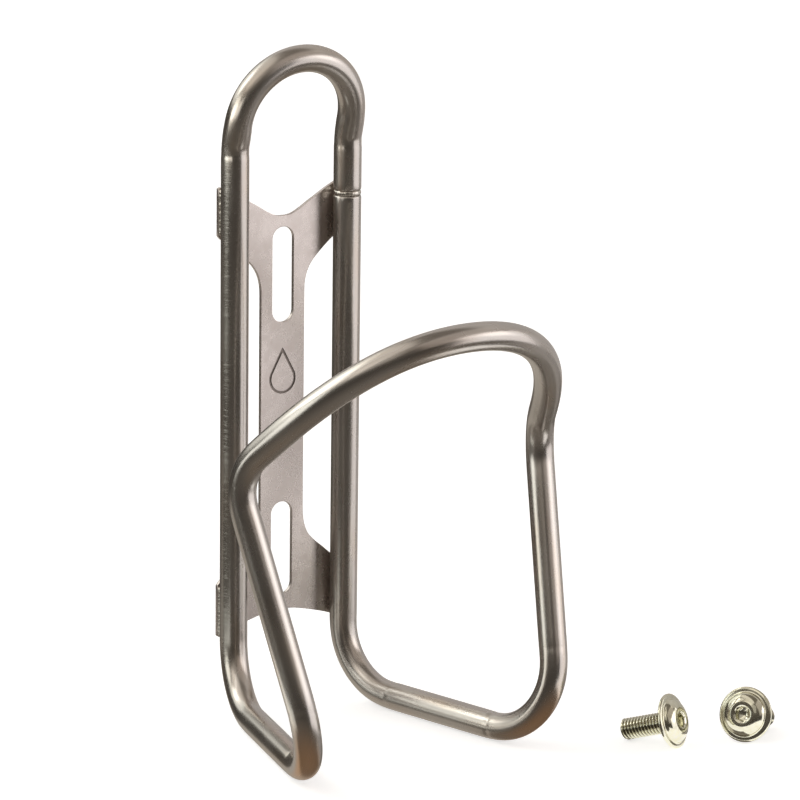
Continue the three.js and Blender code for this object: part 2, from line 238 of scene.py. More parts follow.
def make_tube():
    line = relaxed(loop_line())
    pts, tan, s, curv = resample(line, 0.42, 1.5)
    curv = smooth_rows(curv, 7)
    nx, ny = sweep_frames(tan)
    sides, inner_sides = 64, 24
    verts, faces, uvw, marks, painted_reflection_weights = [], [], [], [], []
    rail_mid = nearest(pts, (-RAIL_X, RAIL_Y, 0))
    mark_side = unit((-0.927, -0.375, 0))
    mark_angle = math.atan2(ny[rail_mid] @ mark_side, nx[rail_mid] @ mark_side)
    left_end = s[nearest(pts, HOOP_FRONT)]
    # shallow creases left by the bending die: where along the tube, how deep, half width, and the side they are on
    creases = []
    for where, deep, half, facing in (
            ((-RAIL_X, RAIL_Y, 61.4), 0.10, 0.55, (-0.4, -0.9, 0.1)), ((RAIL_X, RAIL_Y, 61.2), 0.07, 0.6, (-0.4, -0.9, 0.1)),
            ((RAIL_X, RAIL_Y, 65.4), 0.05, 0.7, (-0.6, -0.8, 0.1)),
            ((26.0, RAIL_Y - 45.9, ARM_Z), 0.12, 0.5, (-0.5, -0.4, 0.85)),
            ((18.6, RAIL_Y - 15.5, ARM_Z), 0.08, 0.55, (-0.3, -0.3, 0.9)),
            ((-26.0, RAIL_Y - 46.5, ARM_Z), 0.08, 0.6, (-0.5, 0.1, 0.85)),
            ((-33.6, RAIL_Y - 57.0, -49.5), 0.08, 0.6, (-0.5, -0.8, 0.2)),
            ((35.2, RAIL_Y - 55.9, -46.0), 0.05, 0.8, (-0.5, -0.8, 0.2))):
        creases.append((s[nearest(pts, where)], deep, half, unit(facing)))

    def ring(i, r, count, along=0.0):
        base = len(verts)
        k = curv[i]
        near = [(deep * math.exp(-((s[i] - at) / half) ** 2), side) for at, deep, half, side in creases
                if abs(s[i] - at) < 4 * half]
        foot = math.exp(-(min(np.linalg.norm(pts[i] - FOOT * (sx, 1, 1)) for sx in (1, -1)) / 15.0) ** 4)
        left = 1.0 if s[i] < left_end else 0.3
        left *= (1.0 if pts[i][2] < 62 else 0.25) * (0.15 if pts[i][2] < ARM_Z + 9 else 1.0)
        for j in range(count):
            a = 2 * math.pi * j / count
            d = nx[i] * math.cos(a) + ny[i] * math.sin(a)
            if r > 3:
                # a bend flattens the section slightly in its own plane
                flat = 1.0 - 0.5 * abs(float(d @ k))
                rr = r * flat - sum(depth * max(0.0, 0.35 + 0.65 * float(d @ side)) for depth, side in near)
            else:
                rr = r
            verts.append(pts[i] + d * rr + tan[i] * along)
            uvw.append((s[i] + along, math.cos(a), math.sin(a)))
            off = (a - mark_angle + math.pi) % (2 * math.pi) - math.pi
            marks.append(left * math.exp(-(off / 0.26) ** 2))
            # painted reflection: near the feet, the side facing down and front-left is given a warm brown that stands
            # in for the surface below mirrored in the tube
            low = min(1.0, max(0.0, (float(d @ (-0.29, -0.44, -0.85)) - 0.35) / 0.45))
            painted_reflection_weights.append(foot * low * low * (3 - 2 * low))
        return base, count

    rings = []
    # inside, from the last station to the first, then the rounded rim, the outside, and the other rim
    for i in range(0, len(pts) - 1, 3):
        rings.append(ring(i, BORE_R, inner_sides))
    rings.append(ring(len(pts) - 1, BORE_R, inner_sides))
    inner = rings
    outer = [ring(0, 2.78, sides), ring(0, 2.88, sides, 0.0), ring(0, 3.02, sides, 0.07), ring(0, 3.12, sides, 0.2)]
    outer.append(ring(0, TUBE_R, sides, 0.42))
    for i in range(1, len(pts) - 1):
        outer.append(ring(i, TUBE_R, sides))
    m = len(pts) - 1
    outer += [ring(m, TUBE_R, sides, -0.42), ring(m, 3.12, sides, -0.2), ring(m, 3.02, sides, -0.07),
              ring(m, 2.88, sides), ring(m, 2.78, sides)]

    def join(a, b, flip=False):
        (a0, n), (b0, _) = a, b
        for j in range(n):
            k = (j + 1) % n
            f = (a0 + j, a0 + k, b0 + k, b0 + j)
            faces.append(f[::-1] if flip else f)

    for a, b in zip(outer, outer[1:]):
        join(a, b)
    for a, b in zip(inner, inner[1:]):
        join(a, b, True)

    def bridge(a, b, flip):
        """between rings of unlike counts"""
        (a0, n), (b0, m2) = a, b
        i = j = 0
        while i < n or j < m2:
            if j * n <= i * m2 and j < m2:
                f = (a0 + i % n, b0 + j % m2, b0 + (j + 1) % m2)
                j += 1
            else:
                f = (a0 + i % n, b0 + j % m2, a0 + (i + 1) % n)
                i += 1
            faces.append(f[::-1] if flip else f)

    bridge(outer[0], inner[0], False)
    bridge(outer[-1], inner[-1], True)
    obj = new_mesh("cage_tube", verts, faces, 50)
    vector_attribute(obj, "along", uvw)
    # the tint attribute holds the painted reflection on the undersides near the feet
    for name, values in (("marks", marks), ("tint", painted_reflection_weights)):
        attr = obj.data.attributes.new(name, "FLOAT", "POINT")
        attr.data.foreach_set("value", np.asarray(values, np.float32))
    return obj


def closed_spline(points, per=6, corners=()):
    """Catmull-Rom through points; the corners, by index, stay sharp."""
    p = np.array(points, float)
    n = len(p)
    out = []
    for i in range(n):
        p0, p1, p2, p3 = p[(i - 1) % n], p[i], p[(i + 1) % n], p[(i + 2) % n]
        if i in corners:
            p0 = 2 * p1 - p2
        if (i + 1) % n in corners:
            p3 = 2 * p2 - p1
        d1, d0, d2 = np.linalg.norm(p2 - p1), np.linalg.norm(p1 - p0), np.linalg.norm(p3 - p2)
        m1 = ((p2 - p1) / d1 * d0 + (p1 - p0) / d0 * d1) / (d0 + d1) * d1
        m2 = ((p3 - p2) / d2 * d1 + (p2 - p1) / d1 * d2) / (d1 + d2) * d1
        steps = max(1, min(per, math.ceil(d1 / 0.35)))
        if d1 > 20:
            steps = 8
        for k in range(steps):
            t = k / steps
            h = (2 * t ** 3 - 3 * t ** 2 + 1, t ** 3 - 2 * t ** 2 + t, -2 * t ** 3 + 3 * t ** 2, t ** 3 - t ** 2)
            out.append(h[0] * p1 + h[1] * m1 + h[2] * p2 + h[3] * m2)
    return np.array(out)


def slot_ring(z, inset=0.0, n=24):
    r = SLOT_W / 2 - inset
    h = SLOT_L / 2 - SLOT_W / 2
    a = np.linspace(0, math.pi, n + 1)
    return np.r_[
        np.stack([r * np.cos(a), z + h + r * np.sin(a)], 1), np.stack([-r * np.cos(a), z - h - r * np.sin(a)], 1)]


def drop_ring(scale=1.0, n=56):
    """Plain water drop with a slightly softened tip."""
    r, reach = DROP_R * scale, DROP_TIP * scale
    open_ = math.acos(r / reach)
    pts = []
    for i in range(n + 1):
        a = math.pi / 2 + open_ + (2 * math.pi - 2 * open_) * i / n
        pts.append((r * math.cos(a), DROP_Z + r * math.sin(a)))
    tip = np.array([0, DROP_Z + reach])
    a, b = np.array(pts[-1]), np.array(pts[0])
    soft = 0.5 * scale
    p, q = tip + unit(a - tip) * soft, tip + unit(b - tip) * soft
    for t in np.linspace(0, 1, 7):
        pts.append(tuple((1 - t) ** 2 * p + 2 * (1 - t) * t * tip + t * t * q))
    return np.array(pts)


def extruded(name, rings, y0, y1, bevel):
    """2D curve with holes, thick from y0 to y1 along Y, its edges rounded by bevel, as a mesh."""
    curve = bpy.data.curves.new(name, "CURVE")
    curve.dimensions = "2D"
    curve.fill_mode = "BOTH"
    curve.extrude = ((y1 - y0) / 2 - bevel) * MM
    curve.bevel_depth = bevel * MM
    curve.bevel_resolution = 2
    curve.offset = -bevel * MM
    for ring in rings:
        sp = curve.splines.new("POLY")
        sp.points.add(len(ring) - 1)
        for point, (x, z) in zip(sp.points, ring):
            point.co = (x * MM, z * MM, 0, 1)
        sp.use_cyclic_u = True
    obj = bpy.data.objects.new(name, curve)
    bpy.context.scene.collection.objects.link(obj)
    bpy.context.view_layer.update()
    mesh = bpy.data.meshes.new_from_object(obj.evaluated_get(bpy.context.evaluated_depsgraph_get()))
    bpy.data.objects.remove(obj)
    mesh.transform(Matrix.Translation((0, (y0 + y1) / 2 * MM, 0)) @ Matrix.Rotation(math.pi / 2, 4, "X"))
    out = bpy.data.objects.new(name, mesh)
    bpy.context.scene.collection.objects.link(out)
    return out


def weld_vertices(obj, dist=1e-6):
    import bmesh
    bm = bmesh.new()
    bm.from_mesh(obj.data)
    bmesh.ops.remove_doubles(bm, verts=bm.verts, dist=dist)
    bmesh.ops.recalc_face_normals(bm, faces=bm.faces)
    bm.to_mesh(obj.data)
    bm.free()
    obj.data.update()


def make_plate():
    right = [(x, z) for x, z in PLATE_EDGE]
    left = [(-x, z) for x, z in PLATE_EDGE[1:-1]][::-1]
    pts = right + left
    corner_points = {(WING_X, 53.1), (WING_X, 42.4), (WING_X, -38.6), (WING_X, -50.45), (STRIP_HALF, 27.6),
                     (STRIP_HALF, -22.2)}
    corners = {i for i, (x, z) in enumerate(pts) if (abs(x), z) in corner_points}
    outline = closed_spline(pts, 6, corners)
    rings = [outline, slot_ring(SLOT_PITCH / 2), slot_ring(-SLOT_PITCH / 2)]
    plate = extruded("plate", rings, -PLATE_T, 0.0, 0.13)
    weld_vertices(plate)
    cutter = extruded("cutter", [drop_ring(), drop_ring(1 - MARK_LINE / DROP_R)], -PLATE_T - 1, -PLATE_T + MARK_DEPTH, 0.08)
    weld_vertices(cutter)
    mod = plate.modifiers.new("mark", "BOOLEAN")
    mod.operation, mod.object, mod.solver = "DIFFERENCE", cutter, "EXACT"
    bpy.context.view_layer.update()
    mesh = bpy.data.meshes.new_from_object(plate.evaluated_get(bpy.context.evaluated_depsgraph_get()))
    bpy.data.objects.remove(cutter)
    bpy.data.objects.remove(plate)
    out = bpy.data.objects.new("plate", mesh)
    bpy.context.scene.collection.objects.link(out)
    weld_vertices(out, 2e-6)
    mesh.shade_smooth()
    mesh.set_sharp_from_angle(angle=math.radians(40))
    flat_normals(mesh)
    return out


def flat_normals(mesh):
    """Keeps the sheet's two faces dead flat in shading, so only the rounded edges turn the light."""
    level = {}
    for poly in mesh.polygons:
        if abs(poly.normal.y) > 0.999:
            for v in poly.vertices:
                level.setdefault(v, []).append(poly.normal.copy())
    normals = [Vector(n.vector) for n in mesh.corner_normals]
    for poly in mesh.polygons:
        flat = abs(poly.normal.y) > 0.999
        for corner in poly.loop_indices:
            if flat:
                normals[corner] = poly.normal.copy()
                continue
            for n in level.get(mesh.loops[corner].vertex_index, ()):
                if n.dot(poly.normal) > 0.75:
                    normals[corner] = n.copy()
    mesh.normals_split_custom_set([tuple(n) for n in normals])
    # painted shade: the engraved line is darkened in colour
    groove_painted_shade = [float(abs(v.co.x) < 0.0048 and 0.002 < v.co.z < 0.018 and -0.00082 < v.co.y < -0.0003) for v in mesh.vertices]
    attr = mesh.attributes.new("groove_painted_shade", "FLOAT", "POINT")
    attr.data.foreach_set("value", groove_painted_shade)


def lathe(profile, sides=96):
    """Closed grid of revolution about +Y from (radius or radius(angle), y) pairs; ends on the axis."""
    verts, faces = [], []
    rings = []
    for r, y in profile:
        if not callable(r) and r == 0:
            rings.append(len(verts))
            verts.append((0, y, 0))
            continue
        rings.append((len(verts), sides))
        for j in range(sides):
            a = 2 * math.pi * j / sides
            rr = r(a) if callable(r) else r
            yy = y(a) if callable(y) else y
            verts.append((rr * math.cos(a), yy, -rr * math.sin(a)))
    for a, b in zip(rings, rings[1:]):
        for j in range(sides):
            k = (j + 1) % sides
            if isinstance(a, int):
                faces.append((a, b[0] + k, b[0] + j))
            elif isinstance(b, int):
                faces.append((a[0] + j, a[0] + k, b))
            else:
                faces.append((a[0] + j, a[0] + k, b[0] + k, b[0] + j))
    return np.array(verts), faces


PITCH = 0.8
THREAD_SHAPE = ((-0.08, 0.0), (0.0, 0.0), (0.08, 0.0), (0.20, 0.33), (0.31, 0.66), (0.42, 0.97), (0.5, 1.0), (0.58, 0.97),
                (0.69, 0.66), (0.80, 0.33))


def thread_mesh(sides=80):
    """Helical thread along +Y from its chamfered tip to its run-out, each row following the helix."""
    per = len(THREAD_SHAPE)
    turns = math.ceil(THREAD_L / PITCH) + 1
    last = THREAD_L - 0.42
    verts, faces = [], []
    for i in range(-per, turns * per):
        t, deep = THREAD_SHAPE[i % per]
        y0 = (i // per + t) * PITCH
        for j in range(sides):
            a = 2 * math.pi * j / sides
            y = y0 + PITCH * j / sides
            fade = min(1.0, max(0.0, (last - y) / 0.5))
            r = THREAD_R - 0.44 * (deep * fade + 0.75 * (1 - fade))
            y = min(last, max(0.0, y))
            r = min(r, 1.92 + 0.9 * y / 0.55)
            verts.append((r * math.cos(a), y, -r * math.sin(a)))
    rows = turns * per + per
    for i in range(rows - 1):
        for j in range(sides):
            k = j + 1
            if k < sides:
                f = (i * sides + j, i * sides + k, (i + 1) * sides + k, (i + 1) * sides + j)
            elif i + per + 1 < rows:
                f = (i * sides + j, (i + per) * sides, (i + per + 1) * sides, (i + 1) * sides + j)
            else:
                continue
            faces.append(f)
    return np.array(verts), faces


def make_bolt(name, seed):
    L = THREAD_L
    root = THREAD_R - 0.33
    prof = [(root, L - 0.6), (root, L - 0.16), (root + 0.06, L - 0.06), (root + 0.2, L), (3.0, L), (4.6, L), (5.6, L),
            (6.05, L), (6.16, L + 0.03), (6.23, L + 0.1), (FLANGE_R, L + 0.2), (FLANGE_R, L + 0.45), (6.22, L + 0.57),
            (6.14, L + 0.67), (6.0, L + 0.745), (5.8, L + 0.79), (5.55, L + 0.81), (5.3, L + 0.815), (5.12, L + 0.835),
            (5.0, L + 0.89), (4.93, L + 0.99)]
    lo_, hi_ = math.radians(6), math.radians(66)
    for i in range(1, 25):
        a = lo_ + (hi_ - lo_) * i / 24
        prof.append((2.9 + 2.0 * (math.cos(a) - math.cos(hi_)) / (math.cos(lo_) - math.cos(hi_)),
                     L + 1.0 + 1.73 * (math.sin(a) - math.sin(lo_)) / (math.sin(hi_) - math.sin(lo_))))
    top = L + 2.75
    prof += [(2.84, top - 0.006), (2.74, top), (2.4, top), (2.10, top), (2.02, top - 0.015), (1.94, top - 0.07)]

    def hexa(a):
        h = (a % (math.pi / 3)) - math.pi / 6
        return 1.5 / math.cos(h)

    prof += [(lambda a: min(1.86, hexa(a) + 0.10), top - 0.16), (lambda a: min(1.75, hexa(a) + 0.02), top - 0.28),
             (hexa, top - 0.4), (hexa, top - 1.1), (hexa, top - 1.86), (lambda a: hexa(a) - 0.05, top - 1.92),
             (1.3, top - 1.97), (0.8, top - 2.15), (0, top - 2.35)]
    head, head_faces = lathe(prof, 120)
    screw, screw_faces = thread_mesh()
    tip, tip_faces = lathe([(0, 0.0), (1.0, 0.0), (1.7, 0.0), (1.93, 0.0), (1.93, 0.02)], 80)
    verts = np.vstack([head, screw, tip])
    faces = list(head_faces)
    faces += [tuple(v + len(head) for v in f) for f in screw_faces]
    faces += [tuple(v + len(head) + len(screw) for v in f) for f in tip_faces]
    foot, back = BOLTS[name]
    ahead = np.array([-math.cos(back), -math.sin(back), 0.0])
    axis = ahead * math.cos(LIE) + np.array([0, 0, math.sin(LIE)])
    down = ahead * math.sin(LIE) - np.array([0, 0, math.cos(LIE)])
    third = -np.cross(axis, down)
    base = np.array([foot[0], foot[1], FLOOR_Z]) - axis * THREAD_L - down * FLANGE_R
    spin = seed * 0.4
    x, y, z = verts[:, 0], verts[:, 1], verts[:, 2]
    xr, zr = x * math.cos(spin) - z * math.sin(spin), x * math.sin(spin) + z * math.cos(spin)
    world = base + xr[:, None] * down + y[:, None] * axis + zr[:, None] * third
    obj = new_mesh("screw_" + name.split("_")[1], world, faces)
    vector_attribute(obj, "local", np.stack([xr, y, zr], 1))
    # painted shade: the thread roots are darkened in colour
    thread_root_shade = np.clip((THREAD_R - 0.05 - np.hypot(xr, zr)) / 0.38, 0, 1) * (y > 0.5) * (y < THREAD_L - 0.05)
    attr = obj.data.attributes.new("root", "FLOAT", "POINT")
    attr.data.foreach_set("value", thread_root_shade.astype(np.float32))
    tidy(obj)
    obj.data.set_sharp_from_angle(angle=math.radians(38))
    return obj


def tidy(obj):
    """Merges the rows that meet at the thread's ends and drops faces with no area."""
    import bmesh
    bm = bmesh.new()
    bm.from_mesh(obj.data)
    bmesh.ops.remove_doubles(bm, verts=bm.verts, dist=2e-7)
    bmesh.ops.dissolve_degenerate(bm, dist=1e-7, edges=bm.edges)
    bm.to_mesh(obj.data)
    bm.free()
    obj.data.update()


def make_sleeve():
    r = BORE_R - GAP * 0.4
    prof = [(0, -8.0), (r - 1.0, -8.0), (r - 0.5, -7.95), (r - 0.18, -7.7), (r, -7.3), (r, -1.5), (r + 0.02, -0.9),
            (r + 0.02, 0.9), (r, 1.5), (r, 7.3), (r - 0.18, 7.7), (r - 0.5, 7.95), (r - 1.0, 8.0), (0, 8.0)]
    verts, faces = lathe(prof, 48)
    v = np.stack([verts[:, 0] + RAIL_X, -verts[:, 2] + RAIL_Y, verts[:, 1] + SEAM_Z], 1)
    return new_mesh("sleeve", v, faces, 40)


def make_seam():
    """Ring of weld between the tube's two ends, a little lumpy, sunk just below the tube's surface."""
    rows, sides = 14, 120
    verts, faces = [], []
    rng = np.random.default_rng(5)
    ph = rng.uniform(0, 2 * math.pi, 6)
    for i in range(rows):
        a = 2 * math.pi * i / rows
        for j in range(sides):
            b = 2 * math.pi * j / sides
            lump = 0.03 * math.sin(7 * b + ph[0]) + 0.025 * math.sin(13 * b + ph[1]) + 0.03 * math.sin(26 * b + ph[2])
            r = 2.86 + (0.27 + lump * 0.7) * math.cos(a)
            z = (0.56 + 0.03 * math.sin(9 * b + ph[3])) * math.sin(a)
            verts.append((RAIL_X + r * math.cos(b), RAIL_Y + r * math.sin(b), SEAM_Z + z))
    for i in range(rows):
        for j in range(sides):
            k, l = (j + 1) % sides, (i + 1) % rows
            faces.append((i * sides + j, i * sides + k, l * sides + k, l * sides + j))
    return new_mesh("seam_bead", verts, faces)


def make_weld(name, side, z0, z1, seed):
    """Rippled fillet in the wedge between a rail's back and the plate."""
    rng = np.random.default_rng(seed)
    n, m = int((z1 - z0) / 0.09), 16
    verts, faces = [], []
    wob = np.interp(np.arange(n + 1), np.linspace(0, n, 14), rng.uniform(-0.07, 0.07, 14))
    for i in range(n + 1):
        z = z0 + (z1 - z0) * i / n
        end = min(1.0, (z - z0) / 0.7, (z1 - z) / 0.7)
        grow = math.sqrt(max(0.0, 1 - (1 - end) ** 2)) * 0.75 + 0.25
        ripple = 0.075 * (abs(math.sin(math.pi * (z - z0) / 0.95)) - 0.5)
        for j in range(m):
            a = 2 * math.pi * j / m
            bulge = 1 + ripple * (0.5 + 0.5 * math.cos(a))
            dx, dy = 0.46 * math.cos(a) * grow * bulge, 0.50 * math.sin(a) * grow * bulge
            lean = 0.18 * math.cos(a) * math.sin(a)
            x = 16.5 + wob[i] * 0.6 + dx + lean * 0.5
            y = -PLATE_T - 0.36 + dy - 0.25 * max(0.0, -math.cos(a))
            verts.append((side * x, y, z))
    for i in range(n):
        for j in range(m):
            k = (j + 1) % m
            f = (i * m + j, i * m + k, (i + 1) * m + k, (i + 1) * m + j)
            faces.append(f if side > 0 else f[::-1])
    a0 = len(verts)
    verts.append(np.mean(verts[:m], axis=0))
    verts.append(np.mean(verts[n * m:n * m + m], axis=0))
    for j in range(m):
        k = (j + 1) % m
        f, g = (a0, k, j), (a0 + 1, n * m + j, n * m + k)
        faces.append(f if side > 0 else f[::-1])
        faces.append(g if side > 0 else g[::-1])
    return new_mesh("bead_" + name, verts, faces)


# ------------------------------------------------------------------ materials
class Nodes:
    def __init__(self, name):
        self.mat = bpy.data.materials.new(name)
        self.mat.use_nodes = True
        self.t = self.mat.node_tree
        self.t.nodes.clear()
        self.out = self.add("ShaderNodeOutputMaterial")
        self.bsdf = self.add("ShaderNodeBsdfPrincipled")
        self.link(self.bsdf, "BSDF", self.out, "Surface")

    def add(self, kind, **values):
        n = self.t.nodes.new(kind)
        for k, v in values.items():
            if hasattr(n, k):
                setattr(n, k, v)
            else:
                n.inputs[k.replace("_", " ")].default_value = v
        return n

    def link(self, a, out, b, inp):
        self.t.links.new(a.outputs[out], b.inputs[inp])

    def scaled(self, src, out, scale):
        n = self.add("ShaderNodeVectorMath", operation="MULTIPLY")
        n.inputs[1].default_value = scale
        self.link(src, out, n, 0)
        return n

    def noise(self, src, out, scale, detail=3.0, rough=0.55, size=1.0):
        v = self.scaled(src, out, scale)
        n = self.add("ShaderNodeTexNoise")
        n.inputs["Scale"].default_value = size
        n.inputs["Detail"].default_value = detail
        n.inputs["Roughness"].default_value = rough
        self.link(v, 0, n, "Vector")
        return n

    def ramp(self, src, out, lo, hi, to_lo, to_hi):
        n = self.add("ShaderNodeMapRange")
        n.inputs["From Min"].default_value = lo
        n.inputs["From Max"].default_value = hi
        n.inputs["To Min"].default_value = to_lo
        n.inputs["To Max"].default_value = to_hi
        self.link(src, out, n, "Value")
        return n

    def math(self, op, a, b):
        n = self.add("ShaderNodeMath", operation=op)
        for i, v in enumerate((a, b)):
            if isinstance(v, tuple):
                self.link(v[0], v[1], n, i)
            else:
                n.inputs[i].default_value = v
        return n

    def mix(self, fac, a, b):
        n = self.add("ShaderNodeMix", data_type="RGBA")
        n.inputs[6].default_value = (*a, 1) if not hasattr(a, "outputs") else (0, 0, 0, 1)
        if hasattr(a, "outputs"):
            self.t.links.new(a.outputs[2], n.inputs[6])
        n.inputs[7].default_value = (*b, 1)
        self.t.links.new(fac[0].outputs[fac[1]], n.inputs[0])
        return n


def titanium(name):
    """Satin drawn tube: soft patches, straw and brown tint, crosswise ticks along one side, faint grain, and a painted
    brown reflection on the undersides near the feet.
    """
    m = Nodes(name)
    at = m.add("ShaderNodeAttribute", attribute_name="along")
    side = m.add("ShaderNodeAttribute", attribute_name="marks")
    # the tint attribute is the painted reflection on the undersides near the feet, not a heat tint
    painted_foot_reflection = m.add("ShaderNodeAttribute", attribute_name="tint")
    patch = m.noise(at, "Vector", (0.06, 0.8, 0.8), 2, 0.45)
    tint = m.noise(at, "Vector", (0.045, 0.9, 0.9), 2, 0.45)
    ticks = m.noise(at, "Vector", (2.1, 0.45, 0.45), 4, 0.72)
    rare = m.noise(at, "Vector", (0.16, 1.0, 1.0), 3, 0.6)
    grain = m.noise(at, "Vector", (0.30, 16.0, 16.0), 2, 0.5)
    nick = m.noise(at, "Vector", (1.1, 5.0, 5.0), 4, 0.65)
    base = m.mix((m.ramp(patch, "Fac", 0.33, 0.68, 0, 1), "Result"), (0.555, 0.52, 0.49), (0.635, 0.60, 0.565))
    base = m.mix((m.ramp(tint, "Fac", 0.50, 0.74, 0, 0.55), "Result"), base, (0.60, 0.50, 0.41))
    # painted reflection: mixes warm brown into the undersides near the feet
    base = m.mix((m.ramp(painted_foot_reflection, "Fac", 0.0, 1.0, 0, 0.9), "Result"), base, (0.78, 0.46, 0.24))
    tick = m.math("MULTIPLY", (m.ramp(ticks, "Fac", 0.51, 0.66, 0, 1), "Result"), (side, "Fac"))
    tick = m.math("MULTIPLY", (tick, 0), (m.ramp(rare, "Fac", 0.35, 0.6, 0.35, 1), "Result"))
    base = m.mix((m.math("MULTIPLY", (side, "Fac"), 0.3), 0), base, (0.44, 0.43, 0.38))
    base = m.mix((m.math("MULTIPLY", (tick, 0), 0.4), 0), base, (0.82, 0.81, 0.75))
    m.t.links.new(base.outputs[2], m.bsdf.inputs["Base Color"])
    m.bsdf.inputs["Metallic"].default_value = 1.0
    r1 = m.ramp(patch, "Fac", 0.3, 0.7, 0.23, 0.30)
    r2 = m.math("MULTIPLY", (tick, 0), 0.13)
    nicks = m.ramp(nick, "Fac", 0.69, 0.78, 0, 1)
    r3 = m.math("ADD", (r1, "Result"), (r2, 0))
    r4 = m.math("ADD", (r3, 0), (m.math("MULTIPLY", (nicks, "Result"), 0.12), 0))
    m.t.links.new(r4.outputs[0], m.bsdf.inputs["Roughness"])
    bump = m.add("ShaderNodeBump")
    bump.inputs["Strength"].default_value = 0.24
    bump.inputs["Distance"].default_value = 0.00004
    m.t.links.new(tick.outputs[0], bump.inputs["Height"])
    bump2 = m.add("ShaderNodeBump")
    bump2.inputs["Strength"].default_value = 0.08
    bump2.inputs["Distance"].default_value = 0.000015
    m.t.links.new(grain.outputs["Fac"], bump2.inputs["Height"])
    m.t.links.new(bump.outputs["Normal"], bump2.inputs["Normal"])
    bump3 = m.add("ShaderNodeBump")
    bump3.inputs["Strength"].default_value = 0.25
    bump3.inputs["Distance"].default_value = 0.00003
    bump3.invert = True
    m.t.links.new(nicks.outputs["Result"], bump3.inputs["Height"])
    m.t.links.new(bump2.outputs["Normal"], bump3.inputs["Normal"])
    m.t.links.new(bump3.outputs["Normal"], m.bsdf.inputs["Normal"])
    return m.mat


def sheet_titanium(name):
    """Rolled sheet: soft mottling, faint grain along its length, small nicks and a few long scratches, and painted
    shade in the engraved line.
    """
    m = Nodes(name)
    pos = m.add("ShaderNodeTexCoord")
    patch = m.noise(pos, "Object", (150, 150, 110), 5, 0.6)
    blot = m.noise(pos, "Object", (480, 480, 380), 3, 0.55)
    grain = m.noise(pos, "Object", (3200, 3200, 240), 3, 0.6)
    turned = m.add("ShaderNodeMapping")
    turned.inputs["Rotation"].default_value = (0, 0.6, 0)
    m.link(pos, "Object", turned, "Vector")
    line = m.noise(turned, "Vector", (2600, 900, 120), 2, 0.5)
    where = m.noise(pos, "Object", (90, 90, 90), 2, 0.5)
    scratch = m.math("MULTIPLY", (m.ramp(line, "Fac", 0.66, 0.72, 0, 1), "Result"),
                     (m.ramp(where, "Fac", 0.5, 0.6, 0, 1), "Result"))
    base = m.mix((m.ramp(patch, "Fac", 0.33, 0.68, 0, 1), "Result"), (0.645, 0.59, 0.565), (0.695, 0.64, 0.612))
    base = m.mix((m.ramp(blot, "Fac", 0.52, 0.75, 0, 0.3), "Result"), base, (0.62, 0.535, 0.49))
    base = m.mix((m.math("MULTIPLY", (scratch, 0), 0.5), 0), base, (0.75, 0.71, 0.68))
    # painted shade: the engraved line is mixed toward near black
    groove_painted_shade = m.add("ShaderNodeAttribute", attribute_name="groove_painted_shade")
    base = m.mix((m.math("MULTIPLY", (groove_painted_shade, "Fac"), 0.85), 0), base, (0.16, 0.135, 0.12))
    m.t.links.new(base.outputs[2], m.bsdf.inputs["Base Color"])
    m.bsdf.inputs["Metallic"].default_value = 1.0
    r = m.ramp(blot, "Fac", 0.3, 0.7, 0.25, 0.30)
    m.t.links.new(r.outputs["Result"], m.bsdf.inputs["Roughness"])
    bump = m.add("ShaderNodeBump")
    bump.inputs["Strength"].default_value = 0.05
    bump.inputs["Distance"].default_value = 0.00002
    m.t.links.new(grain.outputs["Fac"], bump.inputs["Height"])
    b2 = m.add("ShaderNodeBump")
    b2.inputs["Strength"].default_value = 0.035
    b2.inputs["Distance"].default_value = 0.00005
    m.t.links.new(blot.outputs["Fac"], b2.inputs["Height"])
    m.t.links.new(bump.outputs["Normal"], b2.inputs["Normal"])
    b3 = m.add("ShaderNodeBump")
    b3.inputs["Strength"].default_value = 0.3
    b3.inputs["Distance"].default_value = 0.00003
    m.t.links.new(scratch.outputs[0], b3.inputs["Height"])
    m.t.links.new(b2.outputs["Normal"], b3.inputs["Normal"])
    m.t.links.new(b3.outputs["Normal"], m.bsdf.inputs["Normal"])
    return m.mat


def bright_weld(name):
    m = Nodes(name)
    pos = m.add("ShaderNodeTexCoord")
    n1 = m.noise(pos, "Object", (900, 900, 900), 3, 0.55)
    n2 = m.noise(pos, "Object", (300, 300, 300), 2, 0.5)
    base = m.mix((m.ramp(n1, "Fac", 0.35, 0.7, 0, 1), "Result"), (0.62, 0.58, 0.53), (0.80, 0.77, 0.71))
    base = m.mix((m.ramp(n2, "Fac", 0.5, 0.72, 0, 0.4), "Result"), base, (0.56, 0.46, 0.38))
    m.t.links.new(base.outputs[2], m.bsdf.inputs["Base Color"])
    m.bsdf.inputs["Metallic"].default_value = 1.0
    r = m.ramp(n1, "Fac", 0.3, 0.7, 0.2, 0.34)
    m.t.links.new(r.outputs["Result"], m.bsdf.inputs["Roughness"])
    bump = m.add("ShaderNodeBump")
    bump.inputs["Strength"].default_value = 0.2
    bump.inputs["Distance"].default_value = 0.00005
    m.t.links.new(n1.outputs["Fac"], bump.inputs["Height"])
    m.t.links.new(bump.outputs["Normal"], m.bsdf.inputs["Normal"])
    return m.mat


